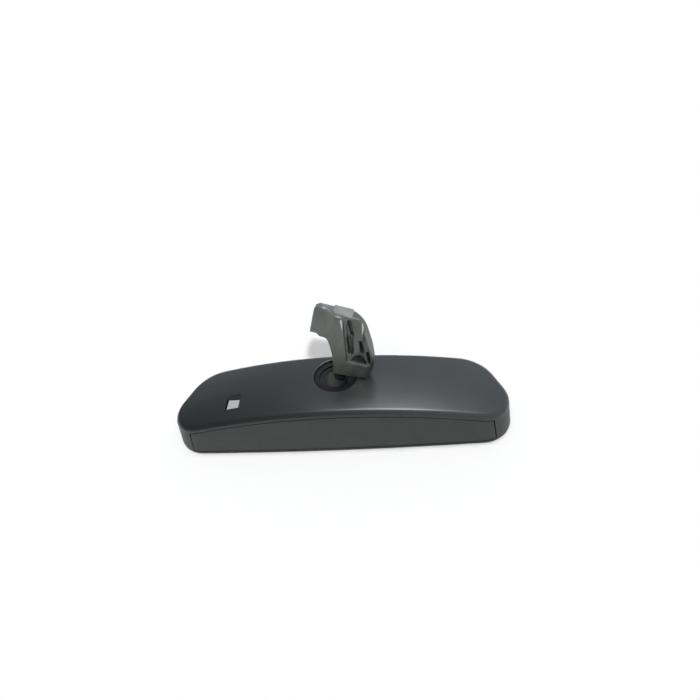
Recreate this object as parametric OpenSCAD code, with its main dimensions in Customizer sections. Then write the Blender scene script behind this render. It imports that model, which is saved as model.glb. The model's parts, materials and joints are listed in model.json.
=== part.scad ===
// Interior rearview mirror, lying on its glass with the ball arm standing up.
// X runs along the mirror, Y across it, Z up from the resting plane to the arm.
// All sizes are in millimetres.

/* [Housing] */
// Overall width, along the longer near edge
housing_w = 250; // [210:1:300]
// How much shorter the far edge is at each end
end_taper = 5.5; // [0:0.5:12]
// Height across the mirror, without the bow of the near edge
housing_h = 66; // [56:1:80]
// Depth at the crown of the back
housing_depth = 44.4; // [37:0.2:54]
// How far the crown falls from the middle to either end
end_drop = 18; // [12:0.5:20]
// How far the crown falls from the middle to a long edge
side_drop = 2.3; // [1:0.1:4]
// Outward bow of the near edge
near_bow = 2.5; // [1:0.1:4]
// Inward hollow of the far edge
far_hollow = 1; // [0:0.1:2]
// Corner radius at the near edge
near_corner_r = 20.6; // [16:0.2:25]
// Corner radius at the far edge
far_corner_r = 27; // [20:0.5:30]
// Radius between the walls and the crown
edge_r = 3.8; // [3:0.1:5]
// Lean of the near wall and the ends, from widest line to crown
near_draft = 1.4; // [0.5:0.1:3]
// Lean of the far wall, from widest line to crown
far_draft = 7.6; // [4:0.1:9]
// Wall thickness
wall = 2.2; // [1.6:0.1:2.8]
// Diameter of the opening for the ball
opening_d = 33.2; // [30:0.2:38]

/* [Bezel] */
// Height of the bezel, from the resting plane to the housing
bezel_h = 5.8; // [5.5:0.1:10]
// Height of the widest line
widest_z = 5.3; // [4:0.1:5.6]
// Inset of the resting ring from the widest line
front_inset = 3.9; // [2:0.1:5]
// Width of the lip that frames the glass
lip_w = 9; // [7.5:0.5:12]
// Thickness of the lip in front of the glass
lip_t = 1.6; // [1:0.1:2.2]
// Thickness of the bezel wall beside the glass
bezel_wall = 3; // [2:0.1:3.4]

/* [Trim panel] */
// Distance from the end of the housing to the panel's top corner
panel_margin = 15.6; // [13:0.2:40]
// How far the ends lean outward down to the bezel
panel_end_lean = 2.4; // [0:0.1:4]
// Height of the seam below the crown edge
seam_drop = 4.4; // [4:0.1:8]
// Gap along the seam and over the bezel
seam_gap = 0.4; // [0.2:0.05:0.6]
// Distance between neighbouring clip posts
post_pitch = 54; // [40:1:60]
// Diameter of a clip post
post_d = 4; // [3:0.2:5]

/* [Glass] */
// Thickness of each glass
glass_t = 1.6; // [1.1:0.1:2.2]
// Thickness of the gel seal between the glasses
seal_t = 0.3; // [0.2:0.05:0.6]
// Width of the gel seal
seal_w = 2.5; // [1.5:0.1:4]
// Gap between the glass and the bezel wall
glass_gap = 0.4; // [0.2:0.1:0.8]
// Step of the rear glass behind the front glass, where the clips sit
glass_step = 1; // [0.9:0.1:1.6]
// Length of a contact clip
clip_l = 150; // [80:1:170]
// Metal thickness of a contact clip
clip_t = 0.3; // [0.2:0.05:0.4]
// Thickness of the foam tape
foam_t = 0.8; // [0.6:0.1:1.2]
// Thickness of the carrier plate
carrier_t = 2; // [1.4:0.1:2.4]
// Distance between neighbouring tabs of the carrier
tab_pitch = 57; // [40:1:60]

/* [Circuit board] */
// Length of the board
board_l = 70; // [66:1:72]
// Width of the board
board_w = 40; // [36:1:42]
// Thickness of the board
board_t = 1.6; // [1:0.1:2]
// Distance from the ball axis to the board's middle
board_offset = 64; // [62:0.5:66]
// Height of the posts under the board
board_post_h = 3.6; // [3:0.1:4.4]
// Diameter of a board screw
board_screw_d = 2; // [1.6:0.1:2.6]
// Number of poles in one row of the plug header
header_poles = 5; // [2:1:6]
// Distance between neighbouring header pins
pin_pitch = 2; // [1.8:0.1:2.2]

/* [Sensor window] */
// Side of the square window
window_side = 8.8; // [8:0.2:11]
// Distance from the mirror's middle to the window, along X
window_x = 75.2; // [66:0.1:78]
// Place of the window across the mirror
window_y = -13.8; // [-17:0.1:-8]
// Height of the window's face below the middle of the crown
window_drop = 8.8; // [8.8:0.1:11]
// Thickness of the window's plate
window_t = 2.6; // [1.5:0.1:3]
// Free strip of the recess beyond the window
recess_strip = 3.2; // [1:0.1:6]
// Free strip of the recess at the window's outer end
recess_end = 1.2; // [0.5:0.1:4]
// Gap along the window's other two sides
recess_gap = 0.5; // [0.3:0.1:1.2]
// Side of the light guide under the window
guide_side = 6; // [4:0.2:7]

/* [Ball joint] */
// Diameter of the ball
ball_d = 19; // [16:0.2:23]
// Place of the ball along the mirror
ball_x = 1.1; // [-4:0.1:4]
// Place of the ball across the mirror
ball_y = 3.3; // [0:0.1:5]
// Depth of the ball's centre below the crown
ball_depth = 9.4; // [8.8:0.1:11]
// Thickness of the liner round the ball
liner_t = 1.95; // [1.4:0.05:2.4]
// Running clearance between the spheres, and of the arm on its stud
run_gap = 0.05; // [0.02:0.01:0.1]
// Wall of the socket round the liner
socket_wall = 2.5; // [2.2:0.1:3]
// Thickness of the socket under the liner
socket_floor = 2.3; // [2:0.1:3.5]
// Thickness of the socket plate
plate_t = 2; // [1.4:0.1:2.6]
// Distance between the plate's screws along X
plate_pitch_x = 39; // [38:0.5:46]
// Distance between the plate's screws along Y
plate_pitch_y = 26; // [25:0.5:30]
// Diameter of a plate screw
plate_screw_d = 2.5; // [2:0.1:3]

/* [Arm] */
// Lean of the ball stud away from upright
arm_lean = 18; // [10:0.5:18]
// Turn of the arm about the upright, seen from above
arm_turn = -6; // [-30:1:30]
// Height of the base's heel above the ball's centre, along the stud
base_rise = 16.5; // [16.4:0.1:20]
// Height of the base's toe above the ball's centre, along the stud
toe_rise = 13.2; // [12.8:0.1:20]
// Height of the arm's top above its base, along the stud
arm_h = 49.5; // [44:0.5:60]
// Thickness of the arm
arm_t = 14; // [13:0.2:18]
// Distance from the stud axis to the heel of the base
heel_x = 21.5; // [18:0.2:24]
// Distance from the stud axis to the toe of the base
toe_x = 4.8; // [4.6:0.1:6]
// Reach of the windscreen foot from the stud axis
foot_reach = 27; // [25:0.5:32]
// Height of the windscreen foot
foot_h = 17; // [15:0.5:20]
// Thickness of the foot plate
foot_plate_t = 1.2; // [0.8:0.1:2]
// Bore of the windscreen socket
socket_bore_d = 8; // [6:0.1:8.6]
// Depth of the windscreen socket
socket_bore_l = 14; // [10:0.5:15]
// Wall of the split sleeve in the windscreen socket
sleeve_t = 0.8; // [0.5:0.1:1]
// Diameter of the stud's neck
neck_d = 9; // [7:0.2:9]
// Diameter of the stud's shaft in the arm
shaft_d = 5; // [4:0.1:6]
// Length of the stud's shaft in the arm
shaft_l = 15; // [10:0.5:16]
// Diameter of the grub screw and the lock screw
grub_d = 4; // [3:0.2:4]

/* [Hidden] */
$fn = 64;
touch = 0.01;
over = 1;

// Colours
shell_grey = [0.16, 0.17, 0.19];
panel_grey = [0.22, 0.22, 0.22];
cast_grey = [0.36, 0.36, 0.37];
steel = [0.66, 0.67, 0.69];
nylon = [0.12, 0.12, 0.13];

// Housing outline: corner arcs joined by bowed long edges
half_w = housing_w / 2;
half_h = housing_h / 2;
arc_steps = 8;
edge_steps = 12;
far_half = half_w - end_taper;
corner_gap = 4;
far_r = min(far_corner_r, housing_h - near_draft - far_draft - near_corner_r - corner_gap);
far_flat = far_half - far_r;
shift_y = (near_bow + far_hollow * (1 - pow(far_flat / half_w, 2))) / 2;
crown_y = ball_y;

function bow(x) = 1 - pow(x / half_w, 2);
function bowed(p) = [p[0], p[1] + shift_y - (p[1] < 0 ? near_bow : far_hollow) * bow(p[0])];
function arc(c, r, from, to) = [
    for (k = [0 : arc_steps])
        let (a = from + (to - from) * k / arc_steps)
        c + r * [cos(a), sin(a)]
];
function mirrored(points) = [for (k = [len(points) - 1 : -1 : 0]) [-points[k][0], points[k][1]]];
function line_inside(p, q) = [for (k = [1 : edge_steps - 1]) p + (q - p) * k / edge_steps];

// Closed outline at one level: lean is 0 at the widest line and 1 at the crown edge
function outline(lean, inset) =
    let (
        near_x = half_w - near_draft * lean,
        far_x = far_half - near_draft * lean,
        near_y = -half_h + near_draft * lean,
        far_y = half_h - far_draft * lean,
        near_c = [near_x - near_corner_r, near_y + near_corner_r],
        far_c = [far_x - far_r, far_y - far_r],
        gap = far_c - near_c,
        side = atan2(gap[1], gap[0]) - acos((near_corner_r - far_r) / norm(gap)),
        near_arc = arc(near_c, near_corner_r - inset, -90, side),
        far_arc = arc(far_c, far_r - inset, side, 90)
    )
    [for (p = concat(
        mirrored(near_arc),
        line_inside([-near_c[0], near_y + inset], [near_c[0], near_y + inset]),
        near_arc,
        far_arc,
        line_inside([far_c[0], far_y - inset], [-far_c[0], far_y - inset]),
        mirrored(far_arc)
    )) bowed(p)];

function crown(x, y) =
    housing_depth - end_drop * pow(x / half_w, 2) - side_drop * pow((y - crown_y) / half_h, 2);

// Level inside the wall of the crown at the lowest point over a round boss
function under_crown(x, y, r) = crown(abs(x) + r, y + (y < crown_y ? -r : r)) - wall / 2;

// Rings of the back shell, from the bezel up to the crown
split_lean = (bezel_h - widest_z) / (housing_depth - edge_r - widest_z);

// Inset of the inner face of the far wall at one level
function wall_inset(x, z) =
    let (rise = crown(x, half_h) - edge_r - bezel_h)
    wall + far_draft * (split_lean + (1 - split_lean) * (z - bezel_h) / rise);
function flat_ring(points, z) = [for (p = points) [p[0], p[1], z]];
function crown_ring(points, below) = [for (p = points) [p[0], p[1], crown(p[0], p[1]) - below]];
function shrunk(points, k) = [for (p = points) [p[0] * k, crown_y + (p[1] - crown_y) * k]];

outer_rings = concat(
    [flat_ring(outline(split_lean, 0), bezel_h)],
    [for (a = [0, 30, 60, 90]) crown_ring(outline(1, edge_r * (1 - cos(a))), edge_r * (1 - sin(a)))],
    [for (k = [0.8, 0.6, 0.4, 0.2]) crown_ring(shrunk(outline(1, edge_r), k), 0)]
);
inner_rings = concat(
    [flat_ring(outline(split_lean, wall), bezel_h)],
    [crown_ring(outline(1, wall), edge_r)],
    [crown_ring(outline(1, edge_r), wall)],
    [for (k = [0.7, 0.4, 0.2]) crown_ring(shrunk(outline(1, edge_r), k), wall)]
);

// Faces between ring a and ring b, each of n points, seen clockwise from the left of the walk
function band(n, a, b) = [
    for (i = [0 : n - 1])
        let (j = (i + 1) % n)
        each [[a + i, b + i, b + j], [a + i, b + j, a + j]]
];
function fan(n, a, tip) = [for (i = [0 : n - 1]) [a + i, tip, a + (i + 1) % n]];
function flipped(faces) = [for (f = faces) [f[0], f[2], f[1]]];

module shell() {
    n = len(outer_rings[0]);
    outer_n = len(outer_rings);
    inner_n = len(inner_rings);
    inner_at = n * outer_n;
    outer_tip = inner_at + n * inner_n;
    top = crown(0, crown_y);
    points = concat(
        [for (r = outer_rings) each r],
        [for (r = inner_rings) each r],
        [[0, crown_y, top], [0, crown_y, top - wall]]
    );
    faces = concat(
        [for (k = [0 : outer_n - 2]) each band(n, k * n, (k + 1) * n)],
        fan(n, (outer_n - 1) * n, outer_tip),
        flipped(concat(
            [for (k = [0 : inner_n - 2]) each band(n, inner_at + k * n, inner_at + (k + 1) * n)],
            fan(n, inner_at + (inner_n - 1) * n, outer_tip + 1),
            band(n, 0, inner_at)
        ))
    );
    polyhedron(points, faces);
}

// Prism of the outline between two levels
module plate(inset, z0, z1) {
    translate([0, 0, z0])
        linear_extrude(z1 - z0)
            polygon(outline(0, inset));
}

module ring_plate(outer_inset, inner_inset, z0, z1) {
    difference() {
        plate(outer_inset, z0, z1);
        plate(inner_inset, z0 - over, z1 + over);
    }
}

module box_between(low, high) {
    translate(low)
        cube(high - low);
}

// Trim panel region on the near wall: grown by the gap for its cut, shrunk for the panel itself
panel_x = ball_x;
panel_half = half_w - panel_margin;
panel_in_y = -half_h + shift_y + 8;
panel_out_y = -half_h - near_bow - 10;
near_line_y = -half_h + shift_y;
seam_steps = 24;
function seam_z(x) = crown(x, near_line_y) - seam_drop;

module panel_region(gap) {
    half = panel_half + gap;
    foot = half + panel_end_lean;
    foot_z = gap > 0 ? bezel_h - over : bezel_h + seam_gap;
    seam = [
        for (k = [0 : seam_steps])
            let (x = half - 2 * half * k / seam_steps)
            [x, seam_z(panel_x + x) + gap]
    ];
    translate([panel_x, panel_in_y, 0])
        rotate([90, 0, 0])
            linear_extrude(panel_in_y - panel_out_y)
                polygon(concat([[-foot, foot_z], [foot, foot_z]], seam));
}

// Ball centre and the parts of the joint round it
ball_r = ball_d / 2;
ball_z = housing_depth - ball_depth;
ball_c = [ball_x, ball_y, ball_z];
liner_in_r = ball_r + run_gap;
liner_out_r = liner_in_r + liner_t - run_gap;
cup_r = liner_out_r + run_gap;
// Levels from the ball's centre, as shares of the spheres they cut
liner_top = 0.47 * ball_r;
liner_foot = -0.63 * ball_r;
socket_top = 0.45 * cup_r;
socket_r = cup_r + socket_wall;
socket_depth = cup_r + socket_floor;
collar_t = 1.3;
collar_h = 4;
collar_low = -1;
seat_r = 0.5 * ball_r;
seat_gap = 0.2;
seat_top = -0.885 * ball_r;
seat_flange_w = 3.4;
seat_flange_r = seat_r + seat_flange_w;
seat_flange_t = 0.8;
spring_h = 1.2;
spring_t = 0.5;
seat_lift = 0.1;
well_depth = spring_h + seat_flange_t + seat_lift;
plate_top_z = ball_z - socket_depth;
plate_margin = 4.5;
boss_d = 6.4;
screw_fit = 0.05;
screw_end_gap = 0.5;
plate_hole_gap = 0.25;
plate_screw_l = 9;
screw_head_h = 1.8;
ring_w = 3.4;
ring_gap = 0.3;
ring_drop = 2.5;
rim_w = 2.4;
rim_h = 1.4;
plate_places = [for (sx = [-1, 1], sy = [-1, 1]) [sx * plate_pitch_x / 2, sy * plate_pitch_y / 2]];

module at_ball() {
    translate(ball_c)
        children();
}

// Levels of the glass stack, from the resting plane upward
front_z = lip_t;
seal_z = front_z + glass_t;
rear_z = seal_z + seal_t;
foam_z = rear_z + glass_t;
carrier_z = foam_z + foam_t;
carrier_top = carrier_z + carrier_t;
front_glass_inset = bezel_wall + glass_gap;
rear_glass_inset = front_glass_inset + glass_step;
seal_edge = 0.4;
seal_inset = rear_glass_inset + seal_edge;
clip_gap = 0.1;
clip_inset = rear_glass_inset - clip_t - clip_gap;
clip_lip = 3;
foam_gap = 1;
foam_inset = clip_inset + clip_lip + foam_gap;
carrier_gap = 1.2;
carrier_inset = bezel_wall + carrier_gap;
tab_w = 9;
tab_t = 1.6;
tab_h = 3.2;
tab_gap = 0.3;
tab_top = carrier_top + tab_h;
tab_places = [for (k = [-1.5 : 1 : 1.5]) k * tab_pitch];
tab_inset = max(carrier_inset, wall_inset(1.5 * tab_pitch + tab_w / 2, tab_top) + tab_gap);

// Circuit board and what stands on it
board_x = ball_x - board_offset;
board_z = carrier_top + board_post_h;
board_top = board_z + board_t;
board_post_d = 6;
board_screw_edge = 4;
board_screw_l = 4;
board_screw_head_d = 3.8;
board_screw_head_h = 1.4;
board_places = [
    for (sx = [-1, 1], sy = [-1, 1])
        [board_x + sx * (board_l / 2 - board_screw_edge), sy * (board_w / 2 - board_screw_edge)]
];
header_h = 8;
header_w = 6;
header_edge = 9;
header_x = board_x + board_l / 2 - header_edge;
header_wall = 1;
header_floor = 2;
header_margin = 3;
header_l = header_poles * pin_pitch + header_margin;
pin_side = 0.6;
pin_short = 1.5;
glare_offset = 4;
glare_x = board_x + glare_offset;
glare_y = 9;
glare_side = 4;
glare_h = 2.4;
glare_lens_d = 4.8;
lens_gap = 0.3;
controller_side = 9;
capacitor_d = 6.3;
capacitor_h = 7.4;

// Clip posts in the housing, and the panel's hooks that grip them above the board
post_places = [for (k = [-1.5 : 1 : 1.5]) panel_x + k * post_pitch];
post_gap = 0.2;
post_inset = 4.6;
post_y = near_line_y + wall + near_draft + post_inset;
hook_gap = 0.9;
hook_z = board_top + hook_gap;
hook_h = 4;
hook_wall = 2;
hook_w = post_d + 2 * hook_wall;
hook_sink = 0.6;
post_end = 2;
post_foot_z = hook_z - post_end;

// Sensor window: its recess in the crown, and its light guide down to the board
window_z = housing_depth - window_drop;
window_foot = window_z - window_t;
recess_wall = 1.5;
recess_low = [-window_x - window_side / 2 - recess_end, window_y - window_side / 2 - recess_gap];
recess_high = [-window_x + window_side / 2 + recess_gap, window_y + window_side / 2 + recess_strip];
ambient_h = 2;
ambient_side = 4;
guide_gap = 0.3;
guide_hole = guide_side + 2 * guide_gap;

// Arm frame: origin at the ball's centre, Z along the stud, X towards the heel of the base
arm_top = base_rise + arm_h;
foot_low = arm_top - foot_h;
near_wall_t = 4.4;
shoulder_r = 22;
heel_rise = 14.5;
belly_lean = 25;
belly_bulge = 0.4;
shoulder_c = [-9.4, arm_top - shoulder_r + 1.8];
plate_left = -14.5;
plate_right = -1.4;
foot_plate_gap = 0.2;
heel_round = arm_t / 2 - 0.1;
heel_chamfer = 4;
base_slope = atan2(base_rise - toe_rise, heel_x - heel_chamfer + toe_x);
edge_chamfer = 3;
tip_chamfer = 2.6;
relief = 1.2;
relief_top = 2.8;
relief_lean = atan2(relief_top - relief, arm_h - heel_rise);
arm_low_y = -arm_t / 2;
arm_high_y = arm_t / 2;
near_slot_depth = 6;
far_slot_depth = 4;
channel_depth = 3.6;
slot_floor_y = arm_low_y + near_slot_depth;
channel_floor_y = arm_low_y + channel_depth;
ear_h = 7.6;
ear_top = arm_top + ear_h;
sleeve_r = socket_bore_d / 2 + sleeve_t;
grub_z = base_rise + shaft_l * 0.55;
groove_w = 2.2;
groove_depth = 0.7;
groove_gap = 0.3;
tip_gap = 0.1;
bore_end_gap = 0.5;
stud_bore_top = base_rise + shaft_l + bore_end_gap;
neck_gap = 0.3;

module in_arm_frame() {
    translate(ball_c)
        rotate([0, arm_lean, arm_turn])
            children();
}

// Upright plate in the arm frame: a side view in X and Z, between two values of Y
module side_plate(y0, y1) {
    translate([0, y1, 0])
        rotate([90, 0, 0])
            linear_extrude(y1 - y0)
                children();
}

belly_out = [cos(belly_lean), sin(belly_lean)];
shoulder_end = shoulder_c + shoulder_r * belly_out;
belly_low_z = base_rise + heel_rise;
shoulder_steps = 10;

// Inner side of the arm: the stepped underside of the foot, the bend, and the spine down to the toe
function bend(a, b, c) = [
    for (k = [0 : bend_steps])
        let (u = k / bend_steps)
        (1 - u) * (1 - u) * a + 2 * u * (1 - u) * b + u * u * c
];
bend_steps = 8;
step_up = 1.6;
step_x = foot_reach - 4.4;
bore_z = (foot_low + step_up + arm_top) / 2;
inner_side = concat(
    [[-foot_reach, foot_low + step_up], [-step_x, foot_low + step_up], [-step_x + 2.6, foot_low - 0.6]],
    bend([-17, foot_low - 0.6], [-13.6, foot_low], [-8.6, foot_low - 16]),
    [[-toe_x, toe_rise]]
);
belly_low = [heel_x, belly_low_z];
belly = bend(belly_low, (belly_low + shoulder_end) / 2 + 2 * belly_bulge * belly_out, shoulder_end);
heel_side = concat([[heel_x - heel_chamfer, base_rise], [heel_x, base_rise + heel_chamfer]], belly);

module arm_side() {
    shoulder = [
        for (k = [1 : shoulder_steps])
            let (a = belly_lean + (90 - belly_lean) * k / shoulder_steps)
            shoulder_c + shoulder_r * [cos(a), sin(a)]
    ];
    intersection() {
        polygon(concat(
            inner_side,
            heel_side,
            shoulder,
            [[-foot_reach, shoulder_c[1] + shoulder_r]]
        ));
        translate([-foot_reach - over, 0])
            square([foot_reach + heel_x + 2 * over, arm_top]);
    }
}

// Near wall of the arm: a squarer shoulder and an ear over the foot
module near_side() {
    ear_x = -20.5;
    ear_steps = 8;
    ear_half = 7.5;
    ear = [
        for (k = [0 : ear_steps])
            let (u = 1 - 2 * k / ear_steps)
            [ear_x + ear_half * u, ear_top - (ear_top - arm_top - 2.6) * u * u]
    ];
    polygon(concat(
        inner_side,
        heel_side,
        [[6.5, arm_top - 0.5], [3.5, arm_top + 2.6]],
        ear
    ));
}

// Part of the near wall that lies back behind the flat spine
module relief_side() {
    polygon([
        [2.2, belly_low_z],
        [heel_x + over, belly_low_z],
        [heel_x + over, ear_top],
        [-7.6, ear_top],
        [-7.6, arm_top + over]
    ]);
}

module slot_side(from, to, w) {
    length = norm(to - from);
    translate(from)
        rotate(atan2(to[1] - from[1], to[0] - from[0])) {
            translate([0, -w / 2])
                square([length, w]);
            circle(d = w);
            translate([length, 0])
                circle(d = w);
        }
}

// Slots and the pocket over the base, seen from the side
module slots_side() {
    slot_side([-2.6, arm_top - 1], [1.2, arm_top - 11.5], 2.6);
    slot_side([-0.8, arm_top - 15], [3.4, arm_top - 27], 2.6);
    slot_side([8, arm_top - 16], [10.8, arm_top - 24], 2.2);
    slot_side([14.6, arm_top - 24], [17.8, arm_top - 32.5], 1.8);
    polygon([
        [4.8, belly_low_z + 0.6],
        [6.6, belly_low_z + 6],
        [10.6, belly_low_z + 7.4],
        [15.6, belly_low_z + 2.6],
        [15.2, belly_low_z + 0.6]
    ]);
}

// Shallow channel that joins the two slots beside the spine
module channel_side() {
    slot_side([-2.2, arm_top - 3.5], [3.2, arm_top - 26.5], 3.8);
}

// Limits of the casting seen from above and from the end: round heel corners, chamfered lower edges
module casting_limits() {
    intersection() {
        linear_extrude(ear_top + over)
            union() {
                polygon([
                    [-foot_reach, arm_low_y],
                    [heel_x - heel_round, arm_low_y],
                    [heel_x - heel_round, arm_high_y],
                    [-foot_reach + tip_chamfer, arm_high_y],
                    [-foot_reach, arm_high_y - tip_chamfer]
                ]);
                translate([0, arm_low_y + heel_round])
                    square([heel_x, arm_t - 2 * heel_round]);
                for (s = [-1, 1])
                    translate([heel_x - heel_round, s * (arm_t / 2 - heel_round)])
                        circle(heel_round);
            }
        translate([-toe_x, 0, toe_rise])
            rotate([90 - base_slope, 0, 90])
                translate([0, 0, -foot_reach])
                    linear_extrude(2 * foot_reach + heel_x)
                        polygon([
                            [arm_low_y + edge_chamfer, 0],
                            [arm_high_y - edge_chamfer, 0],
                            [arm_high_y, edge_chamfer],
                            [arm_high_y, 2 * arm_h],
                            [arm_low_y, 2 * arm_h],
                            [arm_low_y, edge_chamfer]
                        ]);
    }
}

module screw(d, l, head_d, head_h) {
    cylinder(d = d, h = l);
    translate([0, 0, -head_h])
        cylinder(d = head_d, h = head_h);
}

module rear_housing() {
    color(shell_grey)
        difference() {
            union() {
                difference() {
                    shell();
                    panel_region(seam_gap / 2);
                }
                sensor_well();
                for (p = plate_places)
                    boss(ball_x + p[0], ball_y + p[1], boss_d, plate_top_z);
                for (x = post_places)
                    boss(x, post_y, post_d, post_foot_z);
                translate([ball_x, ball_y, ball_z + ball_depth - wall - rim_h])
                    cylinder(d = opening_d + 2 * rim_w, h = rim_h + wall / 2);
            }
            translate([ball_x, ball_y, ball_z])
                cylinder(d = opening_d, h = ball_depth + over);
            for (p = plate_places)
                translate([ball_x + p[0], ball_y + p[1], plate_top_z - over])
                    cylinder(d = plate_screw_d + 2 * screw_fit, h = plate_screw_l + over);
            translate([recess_low[0], recess_low[1], window_foot])
                cube([recess_high[0] - recess_low[0], recess_high[1] - recess_low[1], housing_depth]);
            translate([-window_x, window_y, window_foot])
                cube([guide_hole, guide_hole, 4 * recess_wall], center = true);
        }
}

// Round boss that hangs from the crown down to the given level
module boss(x, y, d, low) {
    translate([x, y, low])
        cylinder(d = d, h = under_crown(x, y, d / 2) - low);
}

// Box under the crown that carries the window
module sensor_well() {
    low = recess_low - [recess_wall, recess_wall];
    high = recess_high + [recess_wall, recess_wall];
    intersection() {
        box_between([low[0], low[1], window_foot - recess_wall], [high[0], high[1], housing_depth]);
        well_limit();
    }
}

// Slope just under the crown that the well stays below
module well_limit() {
    x0 = recess_low[0] - recess_wall;
    x1 = recess_high[0] + recess_wall;
    y_ref = recess_low[1];
    translate([0, half_h, 0])
        rotate([90, 0, 0])
            linear_extrude(housing_h)
                polygon([
                    [x0 - over, 0],
                    [x1 + over, 0],
                    [x1 + over, crown(x1, y_ref) - wall / 2],
                    [x0 - over, crown(x0, y_ref) - wall / 2]
                ]);
}

module lower_trim_panel() {
    color(panel_grey) {
        intersection() {
            shell();
            panel_region(-seam_gap / 2);
        }
        for (x = post_places)
            panel_hook(x);
    }
}

// Clip eye that grips a post of the housing
module panel_hook(x) {
    front_y = near_line_y - near_bow * bow(x) + wall - hook_sink;
    translate([x, 0, hook_z])
        difference() {
            box_between([-hook_w / 2, front_y, 0], [hook_w / 2, post_y + hook_w / 2, hook_h]);
            translate([0, post_y, -over])
                cylinder(d = post_d + 2 * post_gap, h = hook_h + 2 * over);
        }
}

module bezel() {
    levels = [
        flat_ring(outline(0, front_inset), 0),
        flat_ring(outline(0, front_inset * 0.42), widest_z * 0.25),
        flat_ring(outline(0, front_inset * 0.1), widest_z * 0.62),
        flat_ring(outline(0, 0), widest_z),
        flat_ring(outline(split_lean, 0), bezel_h)
    ];
    n = len(levels[0]);
    last = (len(levels) - 1) * n;
    color(shell_grey)
        difference() {
            polyhedron(
                [for (r = levels) each r],
                concat(
                    [for (k = [0 : len(levels) - 2]) each band(n, k * n, (k + 1) * n)],
                    [[for (i = [0 : n - 1]) i]],
                    [[for (i = [n - 1 : -1 : 0]) last + i]]
                )
            );
            plate(lip_w, -over, bezel_h + over);
            plate(bezel_wall, lip_t, bezel_h + over);
        }
}

module front_glass() {
    color([0.75, 0.82, 0.84, 0.4])
        plate(front_glass_inset, front_z, front_z + glass_t);
}

module cell_seal() {
    color([0.25, 0.25, 0.27])
        ring_plate(seal_inset, seal_inset + seal_w, seal_z, seal_z + seal_t);
}

module rear_glass() {
    color([0.8, 0.83, 0.85])
        plate(rear_glass_inset, rear_z, rear_z + glass_t);
}

module bus_clips() {
    color(steel)
        intersection() {
            union() {
                ring_plate(clip_inset, clip_inset + clip_t, rear_z, foam_z + clip_t);
                ring_plate(clip_inset, clip_inset + clip_lip, foam_z, foam_z + clip_t);
            }
            box_between([-clip_l / 2, -housing_h, 0], [clip_l / 2, housing_h, carrier_z]);
        }
}

module foam_tape() {
    color([0.1, 0.1, 0.1])
        difference() {
            plate(foam_inset, foam_z, foam_z + foam_t);
            translate([glare_x, glare_y, foam_z - over])
                cylinder(d = glare_lens_d + 4 * lens_gap, h = foam_t + 2 * over);
        }
}

module glass_carrier() {
    color(nylon)
        difference() {
            union() {
                plate(carrier_inset, carrier_z, carrier_top);
                for (p = board_places)
                    translate([p[0], p[1], carrier_top])
                        cylinder(d = board_post_d, h = board_post_h);
                intersection() {
                    ring_plate(tab_inset, tab_inset + tab_t, carrier_top, tab_top);
                    union()
                        for (x = tab_places)
                            translate([x - tab_w / 2, -housing_h, 0])
                                cube([tab_w, 2 * housing_h, tab_top + over]);
                }
            }
            for (p = board_places)
                translate([p[0], p[1], board_z - board_screw_l])
                    cylinder(d = board_screw_d + 2 * screw_fit, h = board_screw_l + over);
            translate([glare_x, glare_y, carrier_z - over])
                cylinder(d = glare_lens_d + 2 * lens_gap, h = carrier_t + 2 * over);
        }
}

module circuit_board() {
    color([0.1, 0.34, 0.2])
        difference() {
            translate([board_x - board_l / 2, -board_w / 2, board_z])
                cube([board_l, board_w, board_t]);
            for (p = board_places)
                translate([p[0], p[1], board_z - over])
                    cylinder(d = board_screw_d + 2 * plate_hole_gap, h = board_t + 2 * over);
        }
}

// Controller, driver, two capacitors and a row of small chips
module board_components() {
    color([0.08, 0.08, 0.09])
        translate([board_x, 0, board_top]) {
            translate([4, -14, 0])
                cube([controller_side, controller_side, 1.6]);
            translate([3, 1, 0])
                cube([6, 5, 2.2]);
            for (k = [0, 1])
                translate([-24, 4 + 8 * k, 0])
                    cylinder(d = capacitor_d, h = capacitor_h);
            for (k = [0 : 4])
                translate([-16 + 4 * k, 12, 0])
                    cube([2, 3.2, 0.9]);
        }
}

module connector_header() {
    color([0.85, 0.84, 0.78])
        translate([header_x, 0, board_top])
            difference() {
                translate([-header_w / 2, -header_l / 2, 0])
                    cube([header_w, header_l, header_h]);
                translate([-header_w / 2 + header_wall, -header_l / 2 + header_wall, header_floor])
                    cube([header_w - 2 * header_wall, header_l - 2 * header_wall, header_h]);
                pin_row(screw_fit);
            }
}

module pin_row(gap) {
    side = pin_side + 2 * gap;
    for (k = [0 : header_poles - 1])
        translate([-side / 2, (k - (header_poles - 1) / 2) * pin_pitch - side / 2, 0])
            cube([side, side, header_h - pin_short]);
}

module header_pins() {
    color([0.8, 0.7, 0.4])
        translate([header_x, 0, board_top])
            pin_row(0);
}

module board_screws() {
    color(steel)
        for (p = board_places)
            translate([p[0], p[1], board_top])
                mirror([0, 0, 1])
                    screw(
                        board_screw_d,
                        board_t + board_screw_l - screw_end_gap,
                        board_screw_head_d,
                        board_screw_head_h
                    );
}

module ambient_sensor() {
    color([0.15, 0.15, 0.17])
        translate([-window_x - ambient_side / 2, window_y - ambient_side / 2, board_top])
            cube([ambient_side, ambient_side, ambient_h]);
}

module sensor_window() {
    guide_low = board_top + ambient_h + guide_gap;
    color([0.86, 0.87, 0.88])
        translate([-window_x, window_y, 0]) {
            translate([-window_side / 2, -window_side / 2, window_foot])
                cube([window_side, window_side, window_t]);
            translate([-guide_side / 2, -guide_side / 2, guide_low])
                cube([guide_side, guide_side, window_foot + touch - guide_low]);
        }
}

module glare_sensor() {
    color([0.15, 0.15, 0.17])
        translate([glare_x - glare_side / 2, glare_y - glare_side / 2, board_z - glare_h])
            cube([glare_side, glare_side, glare_h]);
}

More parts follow.
